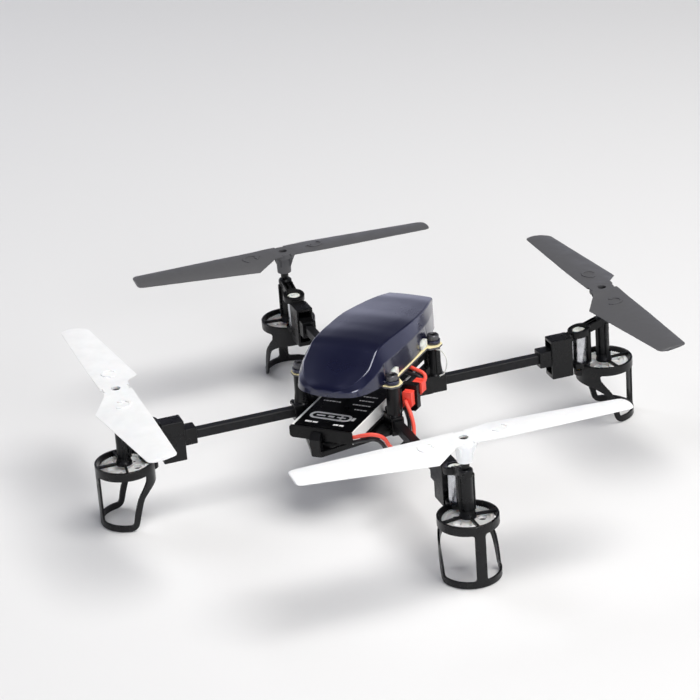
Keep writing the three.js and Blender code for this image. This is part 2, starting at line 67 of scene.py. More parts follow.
HUB = HUBS["rear_right"].x
REACH = HUB * math.sqrt(2)
POST = sum(corner.x for corner in low_high("canopy_screw_rear_right")) / 2
HUB_TOP = low_high("rotor_rear_right")[1].z
PINION_AT = math.hypot(*(Vector(JOINTS["pinion_spin_rear_right"]["pos_m"]) / MM)[:2]) - REACH
BOOM_Z = sum(corner.z for corner in low_high("boom_rear_right")) / 2


def fill_in(node, values):
    """Sets a shader node's inputs; an underscore in a name stands for a space."""
    for socket, value in values.items():
        node.inputs[socket.replace("_", " ")].default_value = value
    return node


# ---- camera, light, floor ----
def make_camera():
    azimuth, elevation, roll = (math.radians(a) for a in (26.72, 23.93, -4.23))
    back = Vector((math.sin(azimuth), -math.cos(azimuth), 0)) * math.cos(elevation)
    back.z = math.sin(elevation)
    level = (-back).cross(Vector((0, 0, 1))).normalized()
    upright = level.cross(-back)
    right = math.cos(roll) * level + math.sin(roll) * upright
    up = math.cos(roll) * upright - math.sin(roll) * level
    camera = bpy.data.objects.new("camera", bpy.data.cameras.new("camera"))
    camera.data.lens = 137.2
    camera.data.sensor_width = 36
    camera.data.clip_end = 20
    camera.matrix_world = Matrix((right, up, back)).transposed().to_4x4()
    camera.location = (0.4433, -0.8956, 0.4378 + HUB_TOP * MM)
    SCENE.collection.objects.link(camera)
    SCENE.camera = camera


def make_light(name, place, target, size, power, colour=(1, 1, 1)):
    data = bpy.data.lights.new(name, "AREA")
    data.shape = "DISK"
    data.size = size
    data.energy = power
    data.color = colour
    light = bpy.data.objects.new(name, data)
    light.location = place
    light.rotation_euler = (Vector(target) - Vector(place)).to_track_quat("-Z", "Y").to_euler()
    SCENE.collection.objects.link(light)


def make_studio():
    world = bpy.data.worlds.new("studio")
    world.use_nodes = True
    nodes, links = world.node_tree.nodes, world.node_tree.links
    background = nodes["Background"]
    background.inputs["Color"].default_value = (0.78, 0.8, 1, 1)
    place, split, grade = (nodes.new(f"ShaderNode{kind}") for kind in ("TexCoord", "SeparateXYZ", "MapRange"))
    grade.interpolation_type = "SMOOTHSTEP"
    fill_in(grade, {"From Min": 0.02, "From Max": 0.4, "To Min": 1.0, "To Max": 0.07})
    links.new(place.outputs["Generated"], split.inputs[0])
    links.new(split.outputs["Z"], grade.inputs["Value"])
    links.new(grade.outputs["Result"], background.inputs["Strength"])
    plain, ray, pick = (nodes.new(f"ShaderNode{kind}") for kind in ("Background", "LightPath", "MixShader"))
    plain.inputs["Color"].default_value = (0.9, 0.91, 0.95, 1)
    links.new(ray.outputs["Is Camera Ray"], pick.inputs["Fac"])
    links.new(background.outputs[0], pick.inputs[1])
    links.new(plain.outputs[0], pick.inputs[2])
    links.new(pick.outputs[0], nodes["World Output"].inputs["Surface"])
    SCENE.world = world
    SCENE.view_settings.view_transform = "Standard"
    make_light("key", (0.42, 0.1, 1.25), (0, 0, 0.03), 0.9, 16.5, (1, 0.985, 0.955))
    make_light("rim", (-1.2, 0.35, 0.9), (0, 0, 0.03), 0.6, 5, (0.95, 0.96, 1))
    make_light("front", (0.95, -0.9, 0.55), (0, 0, 0.03), 0.6, 8)
    floor_mesh = bpy.data.meshes.new("floor")
    half = 3
    floor_mesh.from_pydata(
        [(-half, -half, 0), (half, -half, 0), (half, half, 0), (-half, half, 0)], [], [(0, 1, 2, 3)]
    )
    floor = bpy.data.objects.new("floor", floor_mesh)
    floor.location.z = -0.0002
    SCENE.collection.objects.link(floor)
    pale = bpy.data.materials.new("floor_pale")
    pale.use_nodes = True
    fill_in(
        pale.node_tree.nodes["Principled BSDF"],
        {"Base Color": (0.8, 0.8, 0.8, 1), "Roughness": 0.9, "Specular IOR Level": 0.1},
    )
    floor_mesh.materials.append(pale)


make_camera()
make_studio()
# ---- solids: millimetres, in the frame that a piece is drawn in ----
def shape(points, faces, soft=0.0, steps=2, sharp=25):
    """A closed temporary solid with its sharp edges rounded by `soft`."""
    work = bmesh.new()
    corners = [work.verts.new(point) for point in points]
    for face in faces:
        work.faces.new([corners[i] for i in face])
    bmesh.ops.recalc_face_normals(work, faces=work.faces)
    if soft:
        limit = math.radians(sharp)
        edges = [edge for edge in work.edges if edge.calc_face_angle(0) > limit]
        bmesh.ops.bevel(
            work, geom=edges, offset=soft, segments=steps, profile=0.5, affect="EDGES", clamp_overlap=True
        )
    mesh = bpy.data.meshes.new("shape")
    work.to_mesh(mesh)
    work.free()
    thing = bpy.data.objects.new("shape", mesh)
    SCENE.collection.objects.link(thing)
    return thing


def loft(sections, soft=0.0, closed=False):
    """A solid through sections with equal point counts; a closed loft joins its last to its first."""
    count = len(sections[0])
    turns = len(sections) if closed else len(sections) - 1
    faces = []
    for s in range(turns):
        here = s * count
        there = (s + 1) % len(sections) * count
        for i in range(count):
            j = (i + 1) % count
            faces.append((here + i, here + j, there + j, there + i))
    if not closed:
        last = (len(sections) - 1) * count
        faces.append(tuple(range(count))[::-1])
        faces.append(tuple(range(last, last + count)))
    return shape([point for section in sections for point in section], faces, soft)


def prism(outline, z0, z1, soft=0.0):
    return loft([[(x, y, z) for x, y in outline] for z in (z0, z1)], soft)


def slab(outline, y0, y1, soft=0.0):
    """A prism over an outline in X and Z, from y0 to y1."""
    return loft([[(x, y, z) for x, z in outline] for y in (y0, y1)], soft)


def block(x0, x1, y0, y1, z0, z1, soft=0.25):
    return prism([(x0, y0), (x1, y0), (x1, y1), (x0, y1)], z0, z1, soft)


def polar(radius, angle, x=0.0, y=0.0):
    """A point on a circle round (x, y); the angle is in radians."""
    return (x + radius * math.cos(angle), y + radius * math.sin(angle))


def circle(radius, sides, x=0.0, y=0.0):
    turn = 2 * math.pi / sides
    return [polar(radius, i * turn, x, y) for i in range(sides)]


def arc(x, y, radius, start, end, steps=10):
    """Points along an arc, angles in degrees."""
    return [polar(radius, math.radians(start + (end - start) * i / steps), x, y) for i in range(steps + 1)]


def rod(radius, z0, z1, x=0.0, y=0.0, top=None, sides=48, soft=0.0):
    ends = ((radius, z0), (radius if top is None else top, z1))
    return loft([[(px, py, z) for px, py in circle(size, sides, x, y)] for size, z in ends], soft)


def lathe(profile, sides=72, x=0.0, y=0.0):
    """A ring turned from a closed profile of (radius, z) points that stay off the axis."""
    turn = 2 * math.pi / sides
    sections = [[(*polar(radius, i * turn, x, y), z) for radius, z in profile] for i in range(sides)]
    return loft(sections, closed=True)


def collar(inner, outer, z0, z1, soft=0.2, sides=72, x=0.0, y=0.0):
    """A plain ring with rounded edges."""
    return lathe(panel(inner, outer, z0, z1, soft, 2), sides, x, y)


def fillet(outline, radius, steps=6):
    """The outline with each corner replaced by an arc; radius is one number or one for each corner."""
    radii = radius if isinstance(radius, (list, tuple)) else [radius] * len(outline)
    made = []
    for i, size in enumerate(radii):
        corner = Vector(outline[i])
        before = Vector(outline[i - 1]) - corner
        after = Vector(outline[(i + 1) % len(outline)]) - corner
        if size <= 0:
            made.append(tuple(corner))
            continue
        half = before.angle(after) / 2
        reach = min(size / math.tan(half), before.length * 0.49, after.length * 0.49)
        start = corner + before.normalized() * reach
        end = corner + after.normalized() * reach
        centre = corner + (before.normalized() + after.normalized()).normalized() * (reach / math.cos(half))
        a, b = start - centre, end - centre
        sweep = a.angle_signed(b) if len(corner) == 2 else 0
        for k in range(steps + 1):
            spin = -sweep * k / steps
            c, s = math.cos(spin), math.sin(spin)
            made.append((centre.x + a.x * c - a.y * s, centre.y + a.x * s + a.y * c))
    return made


def panel(x0, x1, y0, y1, radius, steps=4):
    """A rectangle's outline with rounded corners."""
    return fillet([(x0, y0), (x1, y0), (x1, y1), (x0, y1)], radius, steps)


def smooth(stations, place):
    """Reads a short station list [(place, value), ...] with a smooth curve that never overshoots."""
    if place <= stations[0][0]:
        return stations[0][1]
    if place >= stations[-1][0]:
        return stations[-1][1]
    slopes = [(b[1] - a[1]) / (b[0] - a[0]) for a, b in zip(stations, stations[1:])]
    tangents = [slopes[0]]
    for left, right in zip(slopes, slopes[1:]):
        tangents.append(0.0 if left * right <= 0 else 2 * left * right / (left + right))
    tangents.append(slopes[-1])
    for i, slope in enumerate(slopes):
        (p0, v0), (p1, v1) = stations[i], stations[i + 1]
        if place <= p1:
            wide = p1 - p0
            t = (place - p0) / wide
            rise = v1 - v0
            m0, m1 = tangents[i] * wide, tangents[i + 1] * wide
            return v0 + m0 * t + (3 * rise - 2 * m0 - m1) * t * t + (m0 + m1 - 2 * rise) * t**3


def straight(stations, place):
    """Reads a short station list with straight lines between its stations."""
    for (p0, v0), (p1, v1) in zip(stations, stations[1:]):
        if place <= p1:
            share = max(0.0, (place - p0) / (p1 - p0))
            return v0 + (v1 - v0) * share
    return stations[-1][1]


def tube(points, radius, spacing=0.35, sides=20):
    """A round wire along a smooth curve through the points."""
    knots = [Vector(point) for point in points]
    knots = [2 * knots[0] - knots[1], *knots, 2 * knots[-1] - knots[-2]]
    line = []
    for a, b, c, d in zip(knots, knots[1:], knots[2:], knots[3:]):
        steps = max(2, round((c - b).length / spacing))
        for k in range(steps):
            t = k / steps
            line.append(
                0.5 * (2 * b + (c - a) * t + (2 * a - 5 * b + 4 * c - d) * t * t + (3 * b - a - 3 * c + d) * t**3)
            )
    line.append(knots[-2])
    side = (line[1] - line[0]).orthogonal().normalized()
    sections = []
    for i, point in enumerate(line):
        ahead = (line[min(i + 1, len(line) - 1)] - line[max(i - 1, 0)]).normalized()
        side = (side - ahead * side.dot(ahead)).normalized()
        up = ahead.cross(side)
        sections.append([tuple(point + radius * (side * c + up * s)) for c, s in circle(1, sides)])
    return loft(sections)


def moved(thing, x=0.0, y=0.0, z=0.0, turn=0.0):
    thing.data.transform(Matrix.Translation((x, y, z)) @ Matrix.Rotation(math.radians(turn), 4, "Z"))
    return thing


def tilted(thing, axis, degrees, pivot=(0, 0, 0)):
    at = Matrix.Translation(pivot)
    thing.data.transform(at @ Matrix.Rotation(math.radians(degrees), 4, axis) @ at.inverted())
    return thing


def flipped(thing):
    """A mirror image across Y."""
    thing.data.transform(Matrix.Scale(-1, 4, (0, 1, 0)))
    thing.data.flip_normals()
    return thing


def copied(thing):
    twin = thing.copy()
    twin.data = thing.data.copy()
    SCENE.collection.objects.link(twin)
    return twin


def drop(thing):
    mesh = thing.data
    bpy.data.objects.remove(thing)
    bpy.data.meshes.remove(mesh)


def carve(base, add=(), cut=()):
    """Joins the solids in `add` to the base, then cuts away those in `cut`."""
    for operation, tools in (("UNION", add), ("DIFFERENCE", cut)):
        for tool in tools:
            modifier = base.modifiers.new("carve", "BOOLEAN")
            modifier.operation = operation
            modifier.solver = "MANIFOLD"
            modifier.object = tool
    bpy.context.view_layer.update()
    seen = base.evaluated_get(bpy.context.evaluated_depsgraph_get())
    made = bpy.data.meshes.new_from_object(seen)
    base.modifiers.clear()
    old, base.data = base.data, made
    bpy.data.meshes.remove(old)
    for tool in (*add, *cut):
        drop(tool)
    return base


def pack(things):
    """Several separate solids as one piece."""
    work = bmesh.new()
    for thing in things:
        work.from_mesh(thing.data)
    for thing in things[1:]:
        drop(thing)
    work.to_mesh(things[0].data)
    work.free()
    return things[0]


def keep(name, thing, look, body="airframe", stands_for=(), place=None):
    """Bakes a solid into the row frame as a finished piece that rides on a body."""
    place = place or Matrix()
    thing.data.transform(Matrix.Scale(MM, 4) @ place)
    if place.determinant() < 0:
        thing.data.flip_normals()
    thing.name = name
    thing.data.name = name
    thing.data.materials.clear()
    thing.data.materials.append(look["material"])
    thing.data.polygons.foreach_set("use_smooth", [True] * len(thing.data.polygons))
    thing.data.set_sharp_from_angle(angle=math.radians(34))
    normals = thing.modifiers.new("normals", "WEIGHTED_NORMAL")
    normals.keep_sharp = True
    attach(thing, body)
    if stands_for:
        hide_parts(*stands_for)
    return thing


def station(tag):
    """The frame of one arm's outer end: the rotor axis is Z and +X points away from the body."""
    hub = HUBS[tag]
    return Matrix.Translation((hub.x, hub.y, 0)) @ Matrix.Rotation(math.atan2(hub.y, hub.x), 4, "Z")


def turned_arm(tag):
    """The frame of one arm, from the centre of the body: +X points along its boom."""
    return Matrix.Rotation(math.atan2(HUBS[tag].y, HUBS[tag].x), 4, "Z")


# ---- materials ----
def node_look(name, slot, colour, roughness, **shader_values):
    """A Principled material; returns its parts so that a recipe can add nodes."""
    material = bpy.data.materials.new(name)
    material.use_nodes = True
    tree = material.node_tree
    shader = tree.nodes["Principled BSDF"]
    fill_in(shader, {"Base Color": (*colour, 1), "Roughness": roughness, **shader_values})
    return {"material": material, "slot": slot, "tree": tree, "shader": shader, "colour": colour}


def noise(look, scale, detail=3.0, stretch=(1, 1, 1)):
    """Noise over the piece's own coordinates; scale is in features per metre."""
    tree = look["tree"]
    where = tree.nodes.new("ShaderNodeTexCoord")
    sized = fill_in(tree.nodes.new("ShaderNodeMapping"), {"Scale": stretch})
    grain = fill_in(tree.nodes.new("ShaderNodeTexNoise"), {"Scale": scale, "Detail": detail})
    tree.links.new(where.outputs["Object"], sized.inputs["Vector"])
    tree.links.new(sized.outputs["Vector"], grain.inputs["Vector"])
    return grain.outputs["Fac"]


def spread(look, source, low, high, start=0.3, end=0.7):
    """Maps a 0 to 1 pattern onto low to high."""
    node = look["tree"].nodes.new("ShaderNodeMapRange")
    fill_in(node, {"From Min": start, "From Max": end, "To Min": low, "To Max": high})
    look["tree"].links.new(source, node.inputs["Value"])
    return node.outputs["Result"]


def rough(look, source, low, high):
    look["tree"].links.new(spread(look, source, low, high), look["shader"].inputs["Roughness"])


def bump(look, source, depth, strength=0.4):
    """Fine relief; depth is in millimetres."""
    node = fill_in(look["tree"].nodes.new("ShaderNodeBump"), {"Strength": strength, "Distance": depth * MM})
    look["tree"].links.new(source, node.inputs["Height"])
    look["tree"].links.new(node.outputs["Normal"], look["shader"].inputs["Normal"])


def tint(look, source, other, low=0.0, high=1.0, start=0.3, end=0.7):
    """Mixes the base colour towards another one where the pattern is high."""
    tree = look["tree"]
    mix = tree.nodes.new("ShaderNodeMix")
    mix.data_type = "RGBA"
    linked = look["shader"].inputs["Base Color"].links
    if linked:
        tree.links.new(linked[0].from_socket, mix.inputs["A"])
    else:
        mix.inputs["A"].default_value = (*look["colour"], 1)
    mix.inputs["B"].default_value = (*other, 1)
    tree.links.new(spread(look, source, low, high, start, end), mix.inputs["Factor"])
    tree.links.new(mix.outputs["Result"], look["shader"].inputs["Base Color"])


def edges_of(look):
    """A pattern that is high along outside edges."""
    return look["tree"].nodes.new("ShaderNodeNewGeometry").outputs["Pointiness"]


def moulded(name, slot, colour, base_rough=0.3, sheen=0.3):
    """Black glass-filled nylon: fine pebble, cloudy gloss and edges rubbed a little paler."""
    look = node_look(name, slot, colour, base_rough, Specular_IOR_Level=sheen)
    cloud = noise(look, 260, 4)
    rough(look, cloud, base_rough - 0.08, base_rough + 0.1)
    tint(look, cloud, tuple(c * 1.35 for c in colour), 0.0, 0.5)
    tint(look, edges_of(look), tuple(c * 2.4 for c in colour), 0.0, 0.5, 0.53, 0.62)
    bump(look, noise(look, 5200, 2), 0.02, 0.35)
    return look


def carbon(name, slot):
    """Pultruded carbon: long fibres along the tube under a satin skin."""
    look = node_look(name, slot, (0.005, 0.0052, 0.0058), 0.36, Specular_IOR_Level=0.24)
    fibres = noise(look, 900, 3, (0.06, 1, 1))
    rough(look, fibres, 0.3, 0.46)
    tint(look, fibres, (0.016, 0.016, 0.018), 0.0, 0.6)
    bump(look, fibres, 0.015, 0.5)
    return look


def painted(name, slot):
    """Deep navy gloss paint under clear coat, a little uneven in tone and gloss."""
    look = node_look(
        name, slot, (0.0028, 0.0034, 0.018), 0.3, Specular_IOR_Level=0.58, Coat_Weight=0.9, Coat_Roughness=0.07,
        Specular_Tint=(0.62, 0.66, 1, 1),
    )
    rough(look, noise(look, 90, 3), 0.26, 0.34)
    tint(look, noise(look, 60, 3), (0.0036, 0.0043, 0.0205), 0.0, 0.6)
    return look


def satin(name, slot, colour, base_rough, grain=4200, depth=0.012, **shader_values):
    """Plain moulded plastic with soft grain and slightly uneven gloss."""
    look = node_look(name, slot, colour, base_rough, **shader_values)
    cloud = noise(look, 180, 3)
    rough(look, cloud, base_rough - 0.05, base_rough + 0.08)
    tint(look, cloud, tuple(c * 0.92 for c in colour), 0.0, 0.8)
    bump(look, noise(look, grain, 2), depth, 0.3)
    return look


def metal(name, slot, colour, base_rough, grain=(1, 1, 0.05), mottle=0.7):
    """Metal with fine turning or brushing marks and a little tarnish."""
    look = node_look(name, slot, colour, base_rough, Metallic=1.0)
    marks = noise(look, 6000, 2, grain)
    rough(look, marks, base_rough - 0.08, base_rough + 0.12)
    tint(look, noise(look, 500, 3), tuple(c * mottle for c in colour), 0.0, 0.8)
    bump(look, marks, 0.01, 0.3)
    return look


BLACK = moulded("black_nylon", "moulded_black", (0.0028, 0.0029, 0.0033))
TRAY_BLACK = moulded("tray_black", "moulded_black", (0.0018, 0.0018, 0.002), 0.32, 0.22)
CARBON = carbon("carbon_tube", "carbon_tube")
NAVY = painted("navy_paint", "canopy_navy")
ROTOR_WHITE = satin("rotor_white", "rotor_white", (0.9, 0.9, 0.895), 0.45, 3000, 0.01, Subsurface_Weight=0.06)
ROTOR_GREY = satin("rotor_grey", "rotor_grey", (0.086, 0.086, 0.09), 0.5, 3000, 0.01)
GEAR_WHITE = satin("gear_acetal", "gear_white", (0.82, 0.82, 0.81), 0.35, Subsurface_Weight=0.1)
LAMINATE = satin("board_laminate", "board", (0.95, 0.84, 0.48), 0.5, 6000)
BOARD_EDGE = satin("board_edge", "board", (0.11, 0.11, 0.115), 0.6, 9000, 0.03)
CHIP = satin("chip_black", "board", (0.012, 0.012, 0.013), 0.45, 7000)
LABEL = satin("battery_label", "battery_label", (0.0008, 0.0008, 0.001), 0.3, 900, 0.02, Specular_IOR_Level=0.08)
FOIL = satin("battery_foil", "battery_label", (0.98, 0.98, 0.95), 0.3, 1500, 0.05, Specular_IOR_Level=0.9)
INK = satin("label_ink", "battery_label", (0.95, 0.95, 0.95), 0.5)
RED = satin("connector_red", "red_plastic", (1.0, 0.085, 0.055), 0.34)
RED_LEAD = satin("lead_red", "red_lead", (1.0, 0.095, 0.065), 0.42, Subsurface_Weight=0.08)
BLACK_LEAD = satin("lead_black", "black_lead", (0.014, 0.014, 0.016), 0.36)
NYLON = satin("plug_nylon", "white_plastic", (0.83, 0.82, 0.76), 0.42, Subsurface_Weight=0.1)
OXIDE = metal("black_oxide", "oxide_steel", (0.19, 0.19, 0.2), 0.4)
SOLDER = metal("solder", "board", (0.72, 0.73, 0.75), 0.3)
CAN = metal("motor_nickel", "motor_can", (0.66, 0.67, 0.7), 0.24)
BRASS = metal("pinion_brass", "pinion_brass", (0.72, 0.52, 0.22), 0.28)


# ---- rotor: drawn with its axis at Z, one blade along +X, leading edge towards +Y ----
TIP = 68.3
BLADE_LEAD = [(2, 6.0), (30, 6.1), (66.3, 5.6), (67.6, 5.0), (68.1, 4.2), (TIP, 3.2)]
BLADE_TRAIL = [(2, -6.0), (5.1, -6.15), (14.9, -12.7), (66.3, -6.3), (67.6, -5.7), (68.1, -4.9), (TIP, -3.9)]
LEAD_DROP = [(6, 0.0), (12, -0.25), (15, -0.3), (TIP, -0.6)]
TRAIL_DROP = [(5.1, 0.0), (14.9, -2.6), (TIP, -1.4)]
CAMBER = [(6, 0.0), (17, 0.17), (TIP, 0.17)]


def blade_point(u, share, side=1):
    """A point of the blade's skin: share runs from the trailing edge 0 to the leading edge 1."""
    trail, front = straight(BLADE_TRAIL, u), straight(BLADE_LEAD, u)
    fall = straight(TRAIL_DROP, u) * (1 - share) ** 1.4 + straight(LEAD_DROP, u) * share
    chord = front - trail
    rise = straight(CAMBER, u) * chord * share * (1 - share)
    thick = (1.35 - 0.6 * u / TIP) * (1 - abs(2 * share - 1) ** 3) + 0.22
    edge = 0.11 * (1 - abs(2 * share - 1) ** 3) if side > 0 else 0
    return (u, trail + chord * share, HUB_TOP - 0.12 + edge + fall + rise - (0 if side > 0 else thick))


def blade():
    """One blade as a loft of thin cambered sections, with a rounded tip."""
    places = [2, 3.5, 5.1, 5.6]
    places += [5.6 + 0.93 * i for i in range(1, 10)]
    places += [14.5, 14.9, 15.3]
    places += [15.3 + 2.55 * i for i in range(1, 20)]
    places += [66.3, 66.9, 67.3, 67.6, 67.9, 68.1, TIP]
    across = 18
    sections = []
    for u in places:
        under = [blade_point(u, i / across, -1) for i in range(across + 1)]
        over = [blade_point(u, i / across, 1) for i in range(across, -1, -1)]
        sections.append(under + over)
    return loft(sections)


def rotation_arrow():
    """A raised curved arrow that shows which way the rotor turns, following the blade's skin."""
    middle, radius, width, height, start, end = (15.5, -1.6), 3.1, 1.1, 0.42, -60, 170
    inner, outer = (arc(*middle, side, start, end, 26) for side in (radius - width / 2, radius + width / 2))
    head = []
    for reach, swing in ((radius + 1.5, 0.0), (radius, 0.62), (radius - 1.5, 0.0)):
        head.append(polar(reach, math.radians(end) + swing, *middle))
    outline = outer + head + inner[::-1]
    sections = []
    for lift in (-0.25, height):
        ring = []
        for u, v in outline:
            trail, front = straight(BLADE_TRAIL, u), straight(BLADE_LEAD, u)
            ring.append((u, v, blade_point(u, (v - trail) / (front - trail), 1)[2] + lift))
        sections.append(ring)
    return loft(sections, 0.08)


def rotor():
    wing = blade()
    opposite = moved(copied(wing), turn=180)
    arrow = rotation_arrow()
    arrow_too = moved(copied(arrow), turn=180)
    hub = rod(5.2, HUB_TOP - 2.4, HUB_TOP - 0.01, sides=96, soft=0.12)
    boss = rod(3.05, HUB_TOP - 10, HUB_TOP - 2, top=3.3, sides=72, soft=0.25)
    ribs = []
    foot, under = HUB_TOP - 7, HUB_TOP - 2.2
    for angle in (45, 135, 225, 315):
        outline = [(2.8, foot), (3.4, foot), (5.3, under), (2.8, under)]
        ribs.append(moved(slab(outline, -0.35, 0.35, 0.1), turn=angle))
    bore = rod(0.8, HUB_TOP - 11, HUB_TOP + 1, sides=32)
    cap = rod(1.85, HUB_TOP - 1.2, HUB_TOP + 1, sides=48)
    return carve(hub, (wing, opposite, boss, *ribs, arrow, arrow_too), (bore, cap))


ROTOR = rotor()
SPINS = {"front_left": 1, "front_right": -1, "rear_right": 1, "rear_left": -1}
for tag in TAGS:
    spin = SPINS[tag]
    hub = HUBS[tag]
    at = Matrix.Translation((hub.x, hub.y, 0)) @ Matrix.Rotation(math.radians(135 if spin > 0 else 45), 4, "Z")
    at = at @ Matrix.Scale(spin, 4, (0, 1, 0))
    look = ROTOR_WHITE if tag.startswith("front") else ROTOR_GREY
    keep(f"rotor_fine_{tag}", copied(ROTOR), look, f"rotor_unit_{tag}", [f"rotor_{tag}"], at)
    # a thin black disc at the bottom of the hub's recess: painted shade in the recess
    cap = rod(1.8, HUB_TOP - 1.22, HUB_TOP - 1.02, sides=48)
    keep(f"rotor_recess_shade_{tag}", cap, BLACK, f"rotor_unit_{tag}", place=at)
drop(ROTOR)


# ---- motor mount, skid and gear train: drawn in the arm's outer frame, see station() ----
RING_OUT = 12.05
RING_IN = 11.15
SKID_TOP = 23.4
BLOCK_IN, BLOCK_OUT = -25.4, -15.7
BOOM_HALF = 1.95
BOOM_END = 88  # from the centre of the body
BOOM_CLEAR = 0.08
TUBE_TOP = 45.4


def mount_tower():
    """The shaft tube with its three ribs, its foot and the spokes that carry the gear ring."""
    tube = rod(2.5, 28, TUBE_TOP, soft=0.3)
    foot = lathe([(0.4, 25), (3.4, 25), (3.4, 25.9), (3.0, 26.6), (2.9, 28.4), (0.4, 28.4)])
    parts = [foot]
    for angle in (90, 180, 270):
        tip = panel(1.5, 3.5, -0.5, 0.5, [0, 0.42, 0.42, 0], 5)
        parts.append(moved(prism(tip, 27.5, TUBE_TOP - 2.6, 0.1), turn=angle))
    for angle in (0, 82, -82):
        parts.append(moved(block(2, RING_IN + 0.3, -0.5, 0.5, 24.9, 26.1, 0.16), turn=angle))
    return tube, parts


def mount_arm():
    """The raised arm from the block over the motor to the top of the tube."""
    throat = arc(-12.2, 35.4, 3.5, 180, 100, 8)
    under = [(-17.4, 34.4), (-15.7, 34.4), *throat, (-9.6, 39.0), (-4.7, 40.4), (1.2, 42.2)]
    over = [(2.7, 43.4), (1.3, 44.9), (-1.2, 45.1), (-5.4, 43.8), (-10, 42.3), (-15.4, 40.4), (-17.4, 39.4)]
    spine = slab(under + over, -2.35, 2.35, 0.22)
    nose = rod(2.9, 41.9, TUBE_TOP - 0.25, soft=0.5)
    eye = tilted(collar(2.9, 4.75, 39.1, 41.9, 0.3, x=PINION_AT), "Y", -10, (PINION_AT, 0, 40.5))
    post = block(-7.8, -6.2, -1.4, 1.4, 25.6, 41, 0.3)
    return [spine, nose, eye, post]


def mount_block():
    """The hollow block that takes the boom, with its collar."""
    body = block(BLOCK_IN, BLOCK_OUT, -3.75, 3.75, 22.3, 39.8, 0.5)
    sleeve = block(-30.6, BLOCK_IN + 0.5, -3.1, 3.1, BOOM_Z - 3.6, BOOM_Z + 3.6, 0.4)
    return [body, sleeve]


def motor_mount():
    tube, parts = mount_tower()
    shoulder = arc(RING_OUT - 0.26, 25.94, 0.26, 0, 90, 3)
    ring = lathe([(RING_IN, 23.6), (RING_OUT, 23.6), *shoulder, (RING_IN, 26.2)], 144)
    seat = collar(2.6, 4.3, 24.7, 27.0, 0.25, x=PINION_AT)
    tip, half = BOOM_END + 0.2 - REACH, BOOM_HALF + BOOM_CLEAR
    tools = [
        rod(0.83, 20, 50, sides=32),
        rod(3.1, 26.4, 45, x=PINION_AT, sides=64),
        rod(1.9, 20, 27, x=PINION_AT),
        block(-33, tip, -half, half, BOOM_Z - half, BOOM_Z + half, 0.35),
        block(BLOCK_IN - 1, BLOCK_IN + 7, -2.85, 2.85, BOOM_Z + 3.7, 38.6, 0.2),
        block(BLOCK_IN - 1, BLOCK_IN + 7, -2.85, 2.85, 24.3, BOOM_Z - 3.7, 0.3),
    ]
    for side in (-1, 1):
        pocket = fillet([(-7.4, side * 0.5), (-2.9, side * 0.5), (-2.9, side * 1.75), (-7.4, side * 1.5)], 0.25, 3)
        tools.append(tilted(prism(pocket, 42.3, 46, 0), "Y", -14, (-5, 0, 43)))
    return carve(tube, (*parts, ring, seat, *mount_arm(), *mount_block()), tools)


LEG_HALF = 2.2  # half the straight outer leg's width
LEG_INNER = [(2.7, 83), (6, 86), (13.6, 98), (18, 114), (20.6, 124)]
LEG_OUTER = [
    (-1, 72), (0, 77), (0.7, 86), (2, 92.5), (4, 96), (7, 100), (13, 111), (15.6, 127), (17.1, 148), (17.6, 176),
]


def wrapped(outline):
    """A cutter through the skid's round wall; the outline is in millimetres along the wall and up."""
    sections = []
    for radius in (5, 26):
        sections.append([(*polar(radius, along_wall / RING_OUT), z) for along_wall, z in outline])
    return loft(sections)


def on_wall(angle):
    return math.radians(angle) * RING_OUT


def finely(outline, step=0.8):
    """Adds points along an outline's long edges, so that it can be wrapped round a wall."""
    made = []
    for i, (x, y) in enumerate(outline):
        x1, y1 = outline[(i + 1) % len(outline)]
        parts = max(1, round(math.hypot(x1 - x, y1 - y) / step))
        made += [(x + (x1 - x) * k / parts, y + (y1 - y) * k / parts) for k in range(parts)]
    return made


def landing_skid():
    """A round cage wall cut back to a rim, a straight leg, two swept legs and a C-shaped ground band."""
    profile = panel(RING_IN, RING_OUT, 0, 23.58, [0.24, 0.24, 0, 0], 3)
    wall = lathe(profile, 180)
    levels = [4.7 + 0.9 * i for i in range(18)]
    leg_edge = [(on_wall(smooth(LEG_INNER, z)), z) for z in levels]
    opening = [(LEG_HALF, 2.7), (on_wall(82.5), 2.7), *leg_edge, (on_wall(124), 22.5), (LEG_HALF, 22.5)]
    radii = [1.2, 1.9] + [0] * len(leg_edge) + [1.9, 1.2]
    side = wrapped(finely(fillet(opening, radii)))
    levels = [-1 + 0.31 * i for i in range(60)] + [17.35, 17.5]
    back_edge = [(on_wall(smooth(LEG_OUTER, z)), z) for z in levels]
    back = wrapped(finely([*back_edge, (on_wall(181), 17.6), (on_wall(181), -1)]))
    tools = [side, flipped(copied(side)), back, flipped(copied(back))]
    tools.append(rod(2.2, SKID_TOP - 2, SKID_TOP + 1, x=PINION_AT))
    cover = carve(rod(2.8, SKID_TOP - 2.6, SKID_TOP, x=PINION_AT, soft=0.25), cut=(rod(RING_IN, 18, 26, sides=180),))
    skid = carve(wall, (cover,), tools)
    edge = skid.modifiers.new("edge", "BEVEL")
    edge.width = 0.13
    edge.segments = 2
    edge.limit_method = "ANGLE"
    edge.angle_limit = math.radians(50)
    return carve(skid)


def toothed(teeth, module, tip, root, phase, widths):
    """A gear outline: each tooth has a flat tip, curved flanks and a root; widths are half angles."""
    pitch_radius = module * teeth / 2
    made = []
    for i in range(teeth):
        middle = 2 * math.pi * i / teeth + phase
        for radius, width in (
            (root, -widths[2]), (pitch_radius, -widths[1]), (tip, -widths[0]),
            (tip, widths[0]), (pitch_radius, widths[1]), (root, widths[2]),
        ):
            made.append(polar(radius, middle + math.radians(width)))
    return made


GEAR_TEETH, PINION_TEETH, MODULE = 66, 8, 0.3


